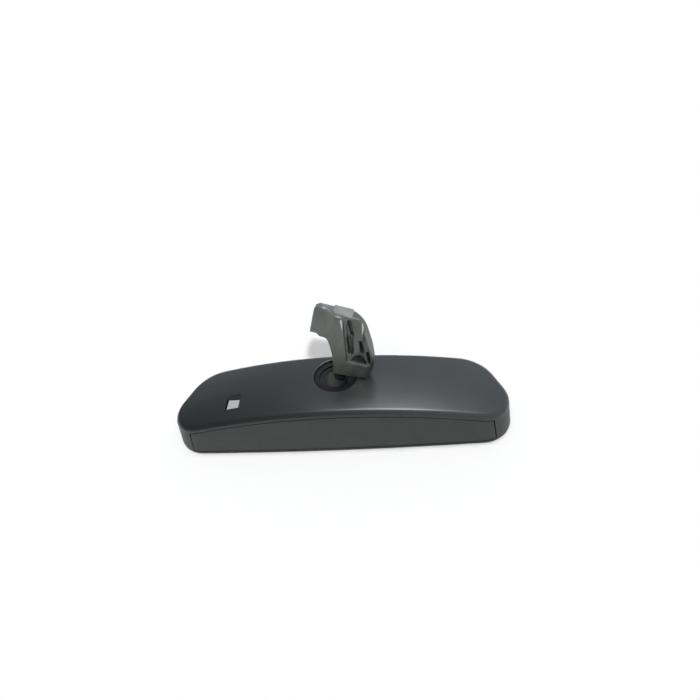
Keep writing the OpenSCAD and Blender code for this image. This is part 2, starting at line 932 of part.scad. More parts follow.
module glare_lens() {
    color([0.8, 0.85, 0.88, 0.5])
        translate([glare_x, glare_y, foam_z])
            cylinder(d = glare_lens_d, h = board_z - glare_h - foam_z - lens_gap);
}

module socket_plate() {
    color(steel)
        translate([ball_x, ball_y, plate_top_z - plate_t])
            difference() {
                translate([-plate_pitch_x / 2 - plate_margin, -plate_pitch_y / 2 - plate_margin, 0])
                    cube([plate_pitch_x + 2 * plate_margin, plate_pitch_y + 2 * plate_margin, plate_t]);
                for (p = plate_places)
                    translate([p[0], p[1], -over])
                        cylinder(d = plate_screw_d + 2 * plate_hole_gap, h = plate_t + 2 * over);
            }
}

module socket_screws() {
    color(steel)
        for (p = plate_places)
            translate([ball_x + p[0], ball_y + p[1], plate_top_z - plate_t])
                screw(
                    plate_screw_d,
                    plate_t + plate_screw_l - screw_end_gap,
                    plate_screw_d * 2,
                    screw_head_h
                );
}

module ball_socket() {
    color(nylon)
        at_ball()
            difference() {
                translate([0, 0, -socket_depth])
                    cylinder(r = socket_r, h = socket_depth + socket_top);
                sphere(cup_r);
                translate([0, 0, -socket_depth - over])
                    cylinder(r = seat_flange_r + 2 * seat_gap, h = well_depth + over);
                translate([0, 0, -socket_depth])
                    cylinder(r = seat_r + seat_gap, h = socket_depth);
            }
}

module retaining_collar() {
    color(steel)
        at_ball()
            translate([0, 0, collar_low])
                difference() {
                    cylinder(r = socket_r + screw_fit + collar_t, h = collar_h);
                    translate([0, 0, -over])
                        cylinder(r = socket_r + screw_fit, h = collar_h + 2 * over);
                }
}

module ball_seat() {
    flange_z = -socket_depth + spring_h;
    color([0.85, 0.84, 0.8])
        at_ball()
            difference() {
                union() {
                    translate([0, 0, flange_z])
                        cylinder(r = seat_flange_r, h = seat_flange_t);
                    translate([0, 0, flange_z])
                        cylinder(r = seat_r, h = seat_top - flange_z);
                }
                sphere(ball_r + run_gap);
            }
}

module seat_spring() {
    low = -socket_depth;
    high = low + spring_h;
    color(steel)
        at_ball()
            rotate_extrude()
                polygon([
                    [seat_r, high],
                    [seat_r, high - spring_t],
                    [seat_flange_r, low],
                    [seat_flange_r, low + spring_t]
                ]);
}

module opening_ring() {
    ring_h = ball_depth - ring_drop - socket_top;
    color([0.07, 0.07, 0.08])
        at_ball()
            translate([0, 0, socket_top])
                difference() {
                    cylinder(d = opening_d - 2 * ring_gap, h = ring_h);
                    translate([0, 0, -over])
                        cylinder(d = opening_d - 2 * ring_gap - 2 * ring_w, h = ring_h + 2 * over);
                }
}

module ball_liner() {
    color([0.8, 0.8, 0.76])
        at_ball()
            difference() {
                intersection() {
                    sphere(liner_out_r);
                    translate([0, 0, liner_foot])
                        cylinder(r = 2 * cup_r, h = liner_top - liner_foot);
                }
                sphere(liner_in_r);
            }
}

module ball_stud() {
    color([0.3, 0.3, 0.27])
        in_arm_frame()
            difference() {
                union() {
                    sphere(ball_r);
                    cylinder(d = neck_d, h = toe_rise - neck_gap);
                    cylinder(d = shaft_d, h = base_rise + shaft_l);
                }
                translate([0, 0, grub_z - groove_w / 2])
                    difference() {
                        cylinder(d = shaft_d + over, h = groove_w);
                        translate([0, 0, -over])
                            cylinder(d = shaft_d - 2 * groove_depth, h = groove_w + 2 * over);
                    }
            }
}

module arm() {
    color(cast_grey)
        in_arm_frame()
            difference() {
                intersection() {
                    union() {
                        side_plate(arm_low_y + near_wall_t, arm_high_y)
                            arm_side();
                        side_plate(arm_low_y, arm_low_y + near_wall_t)
                            near_side();
                    }
                    casting_limits();
                }
                translate([0, arm_low_y + relief, belly_low_z])
                    rotate([-relief_lean, 0, 0])
                        translate([0, 0, -belly_low_z])
                            side_plate(-2 * near_wall_t, 0)
                                relief_side();
                side_plate(arm_low_y - over, channel_floor_y)
                    channel_side();
                side_plate(arm_low_y - over, slot_floor_y)
                    slots_side();
                side_plate(arm_high_y - far_slot_depth, arm_high_y + over)
                    slots_side();
                translate([0, 0, toe_rise - over])
                    cylinder(d = shaft_d + 2 * run_gap, h = stud_bore_top - toe_rise + over);
                translate([-foot_reach - over, 0, bore_z])
                    rotate([0, 90, 0])
                        cylinder(r = sleeve_r + screw_fit, h = socket_bore_l + over);
                translate([-foot_reach + socket_bore_l / 2, 0, foot_low - over])
                    cylinder(d = grub_d + 2 * screw_fit, h = bore_z - foot_low + over);
                translate([0, 0, grub_z])
                    rotate([-90, 0, 0])
                        cylinder(d = grub_d + 2 * screw_fit, h = arm_t);
            }
}

// Pressed steel plate on top of the foot
module foot_plate() {
    low_y = arm_low_y + near_wall_t + foot_plate_gap;
    color(steel)
        in_arm_frame()
            box_between(
                [plate_left, low_y, arm_top],
                [plate_right, arm_high_y - foot_plate_gap, arm_top + foot_plate_t]
            );
}

module socket_sleeve() {
    slit = 2;
    color(steel)
        in_arm_frame()
            translate([-foot_reach, 0, bore_z])
                rotate([0, 90, 0])
                    difference() {
                        cylinder(r = sleeve_r, h = socket_bore_l);
                        translate([0, 0, -over])
                            cylinder(d = socket_bore_d, h = socket_bore_l + 2 * over);
                        translate([-sleeve_r - over, -slit / 2, -over])
                            cube([sleeve_r + over, slit, socket_bore_l + 2 * over]);
                    }
}

module hex_grub(d, l) {
    key = d * 0.5;
    difference() {
        cylinder(d = d, h = l);
        translate([0, 0, l - d * 0.5])
            cylinder(d = key, h = d, $fn = 6);
    }
}

// Screw under the foot that closes the split sleeve on the windscreen pin
module lock_screw() {
    length = bore_z - sleeve_r - foot_low - tip_gap;
    color([0.2, 0.2, 0.21])
        in_arm_frame()
            translate([-foot_reach + socket_bore_l / 2, 0, foot_low + length])
                mirror([0, 0, 1])
                    hex_grub(grub_d, length);
}

// Screw in the side of the arm whose tip runs in the stud's groove
module grub_screw() {
    tip_y = shaft_d / 2 + run_gap + neck_gap;
    tip_l = groove_depth + neck_gap - groove_gap;
    color([0.2, 0.2, 0.21])
        in_arm_frame()
            translate([0, tip_y, grub_z])
                rotate([-90, 0, 0]) {
                    hex_grub(grub_d, arm_t / 2 - tip_y - screw_end_gap);
                    translate([0, 0, -tip_l])
                        cylinder(d = groove_w - 2 * groove_gap, h = tip_l + touch);
                }
}

rear_housing();
lower_trim_panel();
bezel();
front_glass();
cell_seal();
rear_glass();
bus_clips();
foam_tape();
glass_carrier();
circuit_board();
board_components();
connector_header();
header_pins();
board_screws();
ambient_sensor();
sensor_window();
glare_sensor();
glare_lens();
socket_plate();
socket_screws();
ball_socket();
retaining_collar();
ball_seat();
seat_spring();
opening_ring();
ball_liner();
ball_stud();
arm();
foot_plate();
socket_sleeve();
lock_screw();
grub_screw();
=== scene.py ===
"""Looks of the interior rearview mirror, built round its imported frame. Sizes are in mm, the stage in m."""
import json
import math

import bmesh
import bpy
import numpy as np
from mathutils import Matrix, Vector


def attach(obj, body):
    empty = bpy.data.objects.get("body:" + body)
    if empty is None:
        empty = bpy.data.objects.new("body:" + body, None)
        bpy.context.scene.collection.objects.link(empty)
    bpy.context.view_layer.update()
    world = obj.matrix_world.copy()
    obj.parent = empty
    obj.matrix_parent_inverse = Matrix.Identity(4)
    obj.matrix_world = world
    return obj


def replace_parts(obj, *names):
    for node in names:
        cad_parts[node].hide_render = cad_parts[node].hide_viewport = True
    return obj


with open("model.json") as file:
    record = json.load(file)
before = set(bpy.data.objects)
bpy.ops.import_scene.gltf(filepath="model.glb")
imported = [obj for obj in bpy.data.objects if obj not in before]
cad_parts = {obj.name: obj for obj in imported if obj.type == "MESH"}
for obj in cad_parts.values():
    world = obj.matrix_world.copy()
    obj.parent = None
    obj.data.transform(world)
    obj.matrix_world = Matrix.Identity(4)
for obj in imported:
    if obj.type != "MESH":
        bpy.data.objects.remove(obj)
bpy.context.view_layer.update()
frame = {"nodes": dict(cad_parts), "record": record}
nodes = frame["nodes"]
scene = bpy.context.scene
MM = 0.001

# Sizes repeated from the part's source
HALF_W, HALF_H, DEPTH = 125.0, 33.0, 44.4
END_TAPER, END_DROP, SIDE_DROP = 5.5, 18.0, 2.3
NEAR_BOW, FAR_HOLLOW = 2.5, 1.0
NEAR_R, FAR_R, EDGE_R = 20.6, 27.0, 3.8
NEAR_DRAFT, FAR_DRAFT, WALL = 1.4, 7.6, 2.2
OPENING_R, RIM_W, RIM_H = 16.6, 2.4, 1.4
BEZEL_H, WIDEST_Z, FRONT_INSET = 5.8, 5.3, 3.9
LIP_W, LIP_T, BEZEL_WALL = 9.0, 1.6, 3.0
PANEL_MARGIN, PANEL_LEAN, SEAM_DROP, FOOT_GAP = 15.6, 2.4, 4.4, 0.4
POST_PITCH, POST_D, POST_FOOT, POST_INSET, POST_GAP = 54.0, 4.0, 12.0, 4.6, 0.2
HOOK_Z, HOOK_H, HOOK_W = 14.0, 4.0, 8.0
BALL = np.array([1.1, 3.3, 35.0])
WINDOW_SIDE, WINDOW_X, WINDOW_Y, WINDOW_T, WINDOW_DROP = 8.8, 75.2, -13.8, 2.6, 8.8
RECESS_STRIP, RECESS_END, RECESS_GAP, RECESS_WALL = 3.2, 1.2, 0.5, 1.5
GUIDE_HOLE = 6.6
PLATE_PITCH, PLATE_TOP, BOSS_D, BOSS_BORE = (39.0, 26.0), 21.2, 6.4, 2.6
ARM_LEAN, ARM_TURN, ARM_BASE, ARM_TOP = math.radians(18), math.radians(-6), 16.5, 66.0

# Sizes of the looks alone: the seam is drawn wider than in the source, and the recess has a ramp
SEAM_GAP, RAMP_DROP = 0.75, 0.5
MOUTH_R, CUT_EDGE, ARM_VOXEL = 0.9, 0.15, 0.32
BEZEL_EDGE, LIP_R, FRONT_FLAT = 0.3, 0.5, 0.8
# Air between shells of one piece, how far a cut goes past what it cuts, and the reach of the panel's cut
SHELL_GAP, OVER, PANEL_REACH = 0.05, 1.0, (-12.0, 8.0)

# Places that follow from the sizes
FAR_HALF = HALF_W - END_TAPER
SHIFT_Y = (NEAR_BOW + FAR_HOLLOW * (1 - ((FAR_HALF - FAR_R) / HALF_W) ** 2)) / 2
SPLIT_LEAN = (BEZEL_H - WIDEST_Z) / (DEPTH - EDGE_R - WIDEST_Z)
NEAR_LINE = SHIFT_Y - HALF_H
PANEL_HALF = HALF_W - PANEL_MARGIN
POST_Y = NEAR_LINE + WALL + NEAR_DRAFT + POST_INSET
POSTS_X = [BALL[0] + k * POST_PITCH for k in (-1.5, -0.5, 0.5, 1.5)]
WINDOW_Z = DEPTH - WINDOW_DROP

# Steps of the curves and of the surfaces between them
ARC_STEPS, LINE_STEPS, SEAM_STEPS, TUBE_STEPS = 16, 56, 60, 40
WALL_STEPS, EDGE_STEPS, CROWN_STEPS, MOUTH_STEPS, INNER_STEPS, FRONT_STEPS = 8, 9, 14, 5, 8, 9


# Housing surface, by the same formulas as the part's source

def bow(x):
    return 1 - (x / HALF_W) ** 2


def arc(centre, r, start, end):
    a = np.linspace(start, end, ARC_STEPS + 1)
    return centre + r * np.stack([np.cos(a), np.sin(a)], 1)


def mirrored(points):
    return points[::-1] * np.array([-1.0, 1.0])


def line_inside(p, q):
    t = (np.arange(1, LINE_STEPS) / LINE_STEPS)[:, None]
    return p + (q - p) * t


def outline(lean, inset):
    """Closed outline at one level: lean is 0 at the widest line and 1 at the crown edge."""
    near_y, far_y = -HALF_H + NEAR_DRAFT * lean, HALF_H - FAR_DRAFT * lean
    near_c = np.array([HALF_W - NEAR_DRAFT * lean - NEAR_R, near_y + NEAR_R])
    far_c = np.array([FAR_HALF - NEAR_DRAFT * lean - FAR_R, far_y - FAR_R])
    gap = far_c - near_c
    side = math.atan2(gap[1], gap[0]) - math.acos((NEAR_R - FAR_R) / np.linalg.norm(gap))
    near = arc(near_c, NEAR_R - inset, -math.pi / 2, side)
    far = arc(far_c, FAR_R - inset, side, math.pi / 2)
    p = np.concatenate([
        mirrored(near),
        line_inside(mirrored(near)[-1], near[0]),
        near,
        far,
        line_inside(far[-1], mirrored(far)[0]),
        mirrored(far),
    ])
    p[:, 1] += SHIFT_Y - np.where(p[:, 1] < 0, NEAR_BOW, FAR_HOLLOW) * bow(p[:, 0])
    return p


def crown(x, y):
    return DEPTH - END_DROP * (x / HALF_W) ** 2 - SIDE_DROP * ((y - BALL[1]) / HALF_H) ** 2


def flat_ring(p, z):
    return np.column_stack([p, np.full(len(p), z)])


def crown_ring(p, below):
    return np.column_stack([p, crown(p[:, 0], p[:, 1]) - below])


def seam_z(x):
    return crown(x, NEAR_LINE) - SEAM_DROP


def shares(steps):
    return np.linspace(0, 1, steps + 1)


def quarter_turn(steps):
    return np.radians(np.linspace(0, 90, steps + 1))


# Mesh helpers

def mesh_object(name, verts_mm, faces):
    mesh = bpy.data.meshes.new(name)
    mesh.from_pydata([tuple(v) for v in np.asarray(verts_mm) * MM], [], faces)
    mesh.validate()
    bm = bmesh.new()
    bm.from_mesh(mesh)
    bmesh.ops.recalc_face_normals(bm, faces=bm.faces)
    bm.to_mesh(mesh)
    bm.free()
    obj = bpy.data.objects.new(name, mesh)
    scene.collection.objects.link(obj)
    return obj


def loft(name, rings):
    """Closed surface through rings of equally many points, from the last ring back to the first."""
    n = len(rings[0])
    faces = []
    for k in range(len(rings)):
        a, b = k * n, ((k + 1) % len(rings)) * n
        faces += [(a + i, a + (i + 1) % n, b + (i + 1) % n, b + i) for i in range(n)]
    return mesh_object(name, np.concatenate(rings), faces)


def block(name, low, high):
    x, y, z = zip(low, high)
    verts = [(a, b, c) for c in z for b in y for a in x]
    faces = [(0, 2, 3, 1), (4, 5, 7, 6), (0, 1, 5, 4), (2, 6, 7, 3), (0, 4, 6, 2), (1, 3, 7, 5)]
    return mesh_object(name, verts, faces)


def prism(name, profile, to_3d, low, high):
    """Closed prism: profile points are placed by to_3d(u, v, w) at w = low and w = high."""
    n = len(profile)
    verts = [to_3d(u, v, w) for w in (low, high) for u, v in profile]
    faces = [tuple(range(n - 1, -1, -1)), tuple(range(n, 2 * n))]
    faces += [(i, (i + 1) % n, n + (i + 1) % n, n + i) for i in range(n)]
    return mesh_object(name, verts, faces)


def tube(name, x, y, z0, z1, outer_r, inner_r=0.0):
    """Upright tube, or a full rod without an inner radius."""
    a = np.linspace(0, 2 * math.pi, TUBE_STEPS, endpoint=False)
    circle = np.stack([np.cos(a), np.sin(a)], 1)
    if not inner_r:
        return prism(name, circle, lambda u, v, w: (x + outer_r * u, y + outer_r * v, w), z0, z1)
    corners = ((outer_r, z0), (outer_r, z1), (inner_r, z1), (inner_r, z0))
    return loft(name, [flat_ring(np.array([x, y]) + r * circle, z) for r, z in corners])


def take_result(obj):
    """Puts the result of the object's modifiers into its mesh."""
    dg = bpy.context.evaluated_depsgraph_get()
    mesh = bpy.data.meshes.new_from_object(obj.evaluated_get(dg))
    obj.modifiers.clear()
    obj.data = mesh


def combine(obj, tool, operation):
    mod = obj.modifiers.new("combine", "BOOLEAN")
    mod.operation, mod.object, mod.solver = operation, tool, "EXACT"
    take_result(obj)
    bpy.data.objects.remove(tool)


def add_shells(obj, others):
    """Adds other closed shells to an object's mesh."""
    bm = bmesh.new()
    bm.from_mesh(obj.data)
    for o in others:
        bm.from_mesh(o.data)
        bpy.data.objects.remove(o)
    bm.to_mesh(obj.data)
    bm.free()


def soften(obj, width_mm, segments=2, angle=50):
    mod = obj.modifiers.new("soften", "BEVEL")
    mod.width, mod.segments = width_mm * MM, segments
    mod.limit_method, mod.angle_limit = "ANGLE", math.radians(angle)
    mod.miter_outer = "MITER_ARC"


def shade(obj, angle=38):
    obj.data.polygons.foreach_set("use_smooth", [True] * len(obj.data.polygons))
    obj.data.set_sharp_from_angle(angle=math.radians(angle))


def weigh_normals(obj):
    """Lets large faces set the shading of the points that they share with small ones."""
    obj.modifiers.new("weigh", "WEIGHTED_NORMAL").keep_sharp = True


def vertex_values(mesh, key):
    values = np.empty(len(mesh.vertices) * 3)
    mesh.vertices.foreach_get(key, values)
    return values.reshape(-1, 3)


def mesh_points(mesh):
    return vertex_values(mesh, "co") / MM


def ramp(values, start, full):
    return np.clip((values - start) / (full - start), 0, 1)


def store_mark(mesh, name, values):
    mark = mesh.attributes.new(name, "FLOAT", "POINT")
    mark.data.foreach_set("value", values.astype(np.float32))


def smooth_group(angle=32):
    """Node group that shades a mesh smooth except across edges sharper than the angle, for CAD nodes."""
    g = bpy.data.node_groups.new("smooth_by_angle", "GeometryNodeTree")
    g.interface.new_socket("Geometry", in_out="INPUT", socket_type="NodeSocketGeometry")
    g.interface.new_socket("Geometry", in_out="OUTPUT", socket_type="NodeSocketGeometry")
    start, end = g.nodes.new("NodeGroupInput"), g.nodes.new("NodeGroupOutput")
    faces = g.nodes.new("GeometryNodeSetShadeSmooth")
    edges = g.nodes.new("GeometryNodeSetShadeSmooth")
    edges.domain = "EDGE"
    edges.inputs["Shade Smooth"].default_value = False
    fold = g.nodes.new("GeometryNodeInputMeshEdgeAngle")
    over = g.nodes.new("FunctionNodeCompare")
    over.data_type, over.operation = "FLOAT", "GREATER_THAN"
    over.inputs[1].default_value = math.radians(angle)
    g.links.new(start.outputs[0], faces.inputs["Geometry"])
    g.links.new(faces.outputs["Geometry"], edges.inputs["Geometry"])
    g.links.new(fold.outputs["Unsigned Angle"], over.inputs[0])
    g.links.new(over.outputs[0], edges.inputs["Selection"])
    g.links.new(edges.outputs["Geometry"], end.inputs[0])
    return g


class Nodes:
    """Short calls for the nodes of one tree. A value is a constant or another node's output."""

    def __init__(self, tree):
        self.tree = tree

    def feed(self, socket, value):
        if isinstance(value, bpy.types.NodeSocket):
            self.tree.links.new(value, socket)
        else:
            socket.default_value = value

    def add(self, kind, inputs=None, **settings):
        n = self.tree.nodes.new(kind)
        for key, value in settings.items():
            setattr(n, key, value)
        for key, value in (inputs or {}).items():
            self.feed(n.inputs[key], value)
        return n

    def maths(self, operation, *values):
        return self.add("ShaderNodeMath", dict(enumerate(values)), operation=operation).outputs[0]

    def span(self, value, start, full, low, high, **settings):
        inputs = {"Value": value, "From Min": start, "From Max": full, "To Min": low, "To Max": high}
        return self.add("ShaderNodeMapRange", inputs, **settings).outputs["Result"]

    def noise(self, place, scale, detail, roughness=0.55):
        inputs = {"Vector": place, "Scale": scale, "Detail": detail, "Roughness": roughness}
        return self.add("ShaderNodeTexNoise", inputs).outputs["Fac"]

    def mix(self, share, a, b):
        """Colour between a and b. The mix node's colour sockets are 6 and 7, and its result is output 2."""
        return self.add("ShaderNodeMix", {"Factor": share, 6: a, 7: b}, data_type="RGBA").outputs[2]

    def stored(self, mark):
        return self.add("ShaderNodeAttribute", attribute_name=mark).outputs["Fac"]


# Materials: patchy colour, varied roughness and a fine grain, all from object coordinates in metres

# Values of a noise that its patches run between, and how many finer layers it has
PATCH_SPAN, MARK_SPAN = (0.3, 0.7), (0.35, 0.65)
PATCH_DETAIL, FINE_DETAIL, GRAIN_DETAIL = 4, 3, 2
# Scale of the roughness patches against the colour's, scale of the marks' patches, and depth of the grain
ROUGH_SCALE, MARK_SCALE, GRAIN_DEPTH = 3.1, 260, 0.0001
# Least share of each stored mark that its own patches leave, and the roughness that places with wear or
# painted highlights lose
MARK_LEAST = {"painted_shade": 0.25, "wear_and_highlight": 0.6, "painted_light_patch": 0.7}
POLISH = 0.06


def rgba(colour):
    return (*colour, 1.0)


def material(name, base, rough, metallic=0.0, specular=0.5, clear=False, vary=0.12, rough_vary=0.06,
             patch=60, grain=4500, bump=0.08, streak=None, marks=None, painted_side_shade=None, matte=0.0):
    """patch and grain are noise scales, marks holds a colour for each stored mark, matte adds roughness."""
    m = bpy.data.materials.new(name)
    m.use_nodes = True
    t = Nodes(m.node_tree)
    shader = m.node_tree.nodes["Principled BSDF"].inputs
    t.feed(shader["Metallic"], metallic)
    t.feed(shader["Specular IOR Level"], specular)
    t.feed(shader["Transmission Weight"], 1.0 if clear else 0.0)
    place = t.add("ShaderNodeTexCoord").outputs["Object"]
    if streak:
        stretch = {"Vector": place, "Rotation": (0, ARM_LEAN, ARM_TURN), "Scale": (1, 1, 1 / streak)}
        place = t.add("ShaderNodeMapping", stretch, vector_type="TEXTURE").outputs["Vector"]

    dark, light = (rgba(c * (1 + way * vary) for c in base) for way in (-1, 1))
    colour = t.mix(t.span(t.noise(place, patch, PATCH_DETAIL), *PATCH_SPAN, 0, 1), dark, light)
    patches = t.noise(place, patch * ROUGH_SCALE, FINE_DETAIL)
    roughness = t.span(patches, *PATCH_SPAN, rough - rough_vary, rough + rough_vary)
    # Stored marks mix in their tones: painted shade, a painted light patch, and wear with painted highlights
    for mark, tone in (marks or {}).items():
        patches = t.noise(place, MARK_SCALE, FINE_DETAIL)
        share = t.maths("MULTIPLY", t.stored(mark), t.span(patches, *MARK_SPAN, MARK_LEAST[mark], 1))
        colour = t.mix(share, colour, rgba(tone))
        if mark == "wear_and_highlight":
            roughness = t.maths("MULTIPLY_ADD", share, -POLISH, roughness)
    # Painted shade: the colour darkens along X towards the tone, for a side in shadow
    if painted_side_shade:
        start, full, tone = painted_side_shade
        x = t.add("ShaderNodeSeparateXYZ", {"Vector": place}).outputs["X"]
        colour = t.mix(t.span(x, start * MM, full * MM, 0, 1), colour, rgba(tone))
    if matte:
        roughness = t.maths("MULTIPLY_ADD", t.stored("matte"), matte, roughness)
    t.feed(shader["Base Color"], colour)
    t.feed(shader["Roughness"], roughness)
    if bump:
        height = {"Strength": bump, "Distance": GRAIN_DEPTH, "Height": t.noise(place, grain, GRAIN_DETAIL)}
        t.feed(shader["Normal"], t.add("ShaderNodeBump", height).outputs["Normal"])
    return m


# Painted shade on the right side of the ball, where the arm shades it: X where it starts and where it is full
SIDE_SHADE_X = (BALL[0] - 4, BALL[0] + 3)
# Housing, window and arm stay rougher than 0.274, because patches that cross it show as lines once denoised
LOOKS = {
    # The housing's lighter mark tone is a painted light patch beside the arm, where the arm's reflection and
    # shade darken the crown
    "housing_plastic": dict(base=(0.0165, 0.0185, 0.0187), rough=0.298, rough_vary=0.022, specular=0.465,
                            patch=16, bump=0.006, marks={"painted_light_patch": (0.050, 0.052, 0.052)}, matte=0.2),
    "panel_plastic": dict(base=(0.0205, 0.0225, 0.0220), rough=0.42, specular=0.37, bump=0.03),
    "bezel_plastic": dict(base=(0.008, 0.009, 0.009), rough=0.45, specular=0.25),
    "clear_glass": dict(base=(0.86, 0.92, 0.93), rough=0.03, rough_vary=0.01, clear=True, vary=0.01, bump=0),
    "gel_seal": dict(base=(0.05, 0.05, 0.055), rough=0.6),
    "mirror_glass": dict(base=(0.72, 0.75, 0.77), rough=0.03, rough_vary=0.01, metallic=1.0, vary=0.02,
                         bump=0),
    "contact_metal": dict(base=(0.72, 0.62, 0.38), rough=0.3, metallic=1.0, vary=0.1, patch=300),
    "foam": dict(base=(0.03, 0.03, 0.03), rough=0.9, grain=2500, bump=0.6),
    "inner_plastic": dict(base=(0.006, 0.006, 0.006), rough=0.6, specular=0.3, bump=0.06),
    "board": dict(base=(0.02, 0.12, 0.05), rough=0.35, vary=0.2, patch=220),
    "chip": dict(base=(0.02, 0.02, 0.022), rough=0.55, bump=0.15),
    "header_plastic": dict(base=(0.66, 0.63, 0.54), rough=0.45),
    "sensor": dict(base=(0.02, 0.02, 0.025), rough=0.12, bump=0),
    "window_plastic": dict(base=(0.40, 0.42, 0.43), rough=0.3, rough_vary=0.02, vary=0.05, patch=150,
                           bump=0.03),
    "lens": dict(base=(0.85, 0.9, 0.92), rough=0.05, rough_vary=0.01, clear=True, vary=0.01, bump=0),
    "steel": dict(base=(0.56, 0.57, 0.59), rough=0.36, metallic=1.0, patch=250, grain=2600, bump=0.12),
    "dark_screw": dict(base=(0.06, 0.06, 0.065), rough=0.4, metallic=0.8, patch=250),
    "white_plastic": dict(base=(0.55, 0.54, 0.49), rough=0.42),
    "ring_rubber": dict(base=(0.007, 0.007, 0.008), rough=0.75, specular=0.3, bump=0.25),
    # The ball's dark tone along X is painted shade from the arm on its right side
    "stud_steel": dict(base=(0.055, 0.056, 0.047), rough=0.62, metallic=0.1, vary=0.2, patch=220,
                       grain=3000, painted_side_shade=(*SIDE_SHADE_X, (0.005, 0.005, 0.006))),
    "plate_zinc": dict(base=(0.19, 0.192, 0.176), rough=0.48, metallic=0.6, vary=0.2, patch=220, grain=2200,
                       bump=0.16),
    # The cast alloy's dark mark tone is painted shade, and its light mark tone is edge wear together with
    # painted highlights
    "cast_alloy": dict(base=(0.117, 0.124, 0.114), rough=0.40, metallic=0.7, vary=0.22, patch=130,
                       streak=0.2, grain=1500, bump=0.16,
                       marks={"painted_shade": (0.014, 0.019, 0.024), "wear_and_highlight": (0.6, 0.6, 0.58)}),
}
MATS = {name: material(name, **look) for name, look in LOOKS.items()}
NODE_SLOT = {row["node"]: row["material_slot"] for row in frame["record"]["subparts"]}


def paint(obj, slot):
    obj.data.materials.clear()
    obj.data.materials.append(MATS[slot])


# CAD nodes that stay: material, soft edges and smooth shading

REPLACED = {"rear_housing", "lower_trim_panel", "bezel", "arm"}
SOFT_EDGE = {
    "foot_plate": 0.35, "sensor_window": 0.3, "opening_ring": 0.3, "socket_plate": 0.25, "ball_socket": 0.3,
    "circuit_board": 0.1, "front_glass": 0.25, "rear_glass": 0.15, "glass_carrier": 0.2,
    "connector_header": 0.15, "board_components": 0.12, "lock_screw": 0.15, "grub_screw": 0.15,
    "socket_sleeve": 0.12, "socket_screws": 0.2, "board_screws": 0.15,
}
smooth = smooth_group()
for name, obj in nodes.items():
    paint(obj, NODE_SLOT[name])
    if name in REPLACED:
        continue
    if name in SOFT_EDGE:
        soften(obj, SOFT_EDGE[name])
    obj.modifiers.new("smooth", "NODES").node_group = smooth


# Back housing, with the wall that the trim panel shares

def shell(name):
    """Closed shell from the bezel up the wall, over the crown, into the opening and back inside."""
    foot, head = flat_ring(outline(SPLIT_LEAN, 0), BEZEL_H), crown_ring(outline(1, 0), EDGE_R)
    rings = [foot + (head - foot) * t for t in shares(WALL_STEPS)[:-1]]
    for a in quarter_turn(EDGE_STEPS):
        rings.append(crown_ring(outline(1, EDGE_R * (1 - math.cos(a))), EDGE_R * (1 - math.sin(a))))
    edge = outline(1, EDGE_R)
    way = np.arctan2(edge[:, 1] - BALL[1], edge[:, 0] - BALL[0])
    ray = np.stack([np.cos(way), np.sin(way)], 1)

    def circle(r):
        return BALL[:2] + r * ray

    mouth = circle(OPENING_R + MOUTH_R)
    rings += [crown_ring(edge + (mouth - edge) * t, 0) for t in shares(CROWN_STEPS)[1:]]
    mouth_z = crown(mouth[:, 0], mouth[:, 1])
    for a in quarter_turn(MOUTH_STEPS)[1:]:
        p = circle(OPENING_R + MOUTH_R * (1 - math.sin(a)))
        rings.append(np.column_stack([p, mouth_z - MOUTH_R * (1 - math.cos(a))]))
    rim_z = DEPTH - WALL - RIM_H
    hang = circle(OPENING_R + RIM_W)
    rings += [flat_ring(circle(OPENING_R), rim_z), flat_ring(hang, rim_z), crown_ring(hang, WALL)]
    rings += [crown_ring(hang + (edge - hang) * t, WALL) for t in shares(INNER_STEPS)[1:]]
    rings += [crown_ring(outline(1, WALL), EDGE_R), flat_ring(outline(SPLIT_LEAN, WALL), BEZEL_H)]
    return loft(name, rings)


def panel_region(gap):
    """The part of the near wall that is the trim panel, grown by the gap or shrunk by a negative one."""
    half = PANEL_HALF + gap
    foot = half + PANEL_LEAN
    x = np.linspace(half, -half, SEAM_STEPS + 1)
    low = BEZEL_H - OVER if gap > 0 else BEZEL_H + FOOT_GAP
    profile = [(-foot, low), (foot, low), *zip(x, seam_z(BALL[0] + x) + gap)]
    near, far = (NEAR_LINE + y for y in PANEL_REACH)
    return prism("region", profile, lambda u, v, w: (BALL[0] + u, w, v), near, far)


def add_window_tray(obj):
    """Tray of the sensor window under the crown, with its recess and the hole for the sensor's light."""
    foot = WINDOW_Z - WINDOW_T
    low = np.array([-WINDOW_X - WINDOW_SIDE / 2 - RECESS_END, WINDOW_Y - WINDOW_SIDE / 2 - RECESS_GAP])
    high = np.array([-WINDOW_X + WINDOW_SIDE / 2 + RECESS_GAP, WINDOW_Y + WINDOW_SIDE / 2 + RECESS_STRIP])
    tray_low, tray_high = low - RECESS_WALL, high + RECESS_WALL
    tray_foot = foot - RECESS_WALL
    front = [
        (tray_low[0], tray_foot),
        (tray_high[0], tray_foot),
        (tray_high[0], crown(tray_high[0], low[1]) - WALL / 2),
        (tray_low[0], crown(tray_low[0], low[1]) - WALL / 2),
    ]
    tray = prism("tray", front, lambda u, v, w: (u, w, v), tray_low[1], tray_high[1])
    combine(obj, tray, "UNION")
    ledge = WINDOW_Y + WINDOW_SIDE / 2 + RECESS_GAP
    side = [
        (low[1], foot),
        (ledge, foot),
        (ledge, WINDOW_Z - RAMP_DROP),
        (high[1], crown(-WINDOW_X, high[1]) - RAMP_DROP),
        (high[1], DEPTH + OVER),
        (low[1], DEPTH + OVER),
    ]
    recess = prism("recess", side, lambda u, v, w: (w, u, v), low[0], high[0])
    combine(obj, recess, "DIFFERENCE")
    half = GUIDE_HOLE / 2
    guide = block("guide", (-WINDOW_X - half, WINDOW_Y - half, tray_foot - OVER),
                  (-WINDOW_X + half, WINDOW_Y + half, foot + OVER))
    combine(obj, guide, "DIFFERENCE")


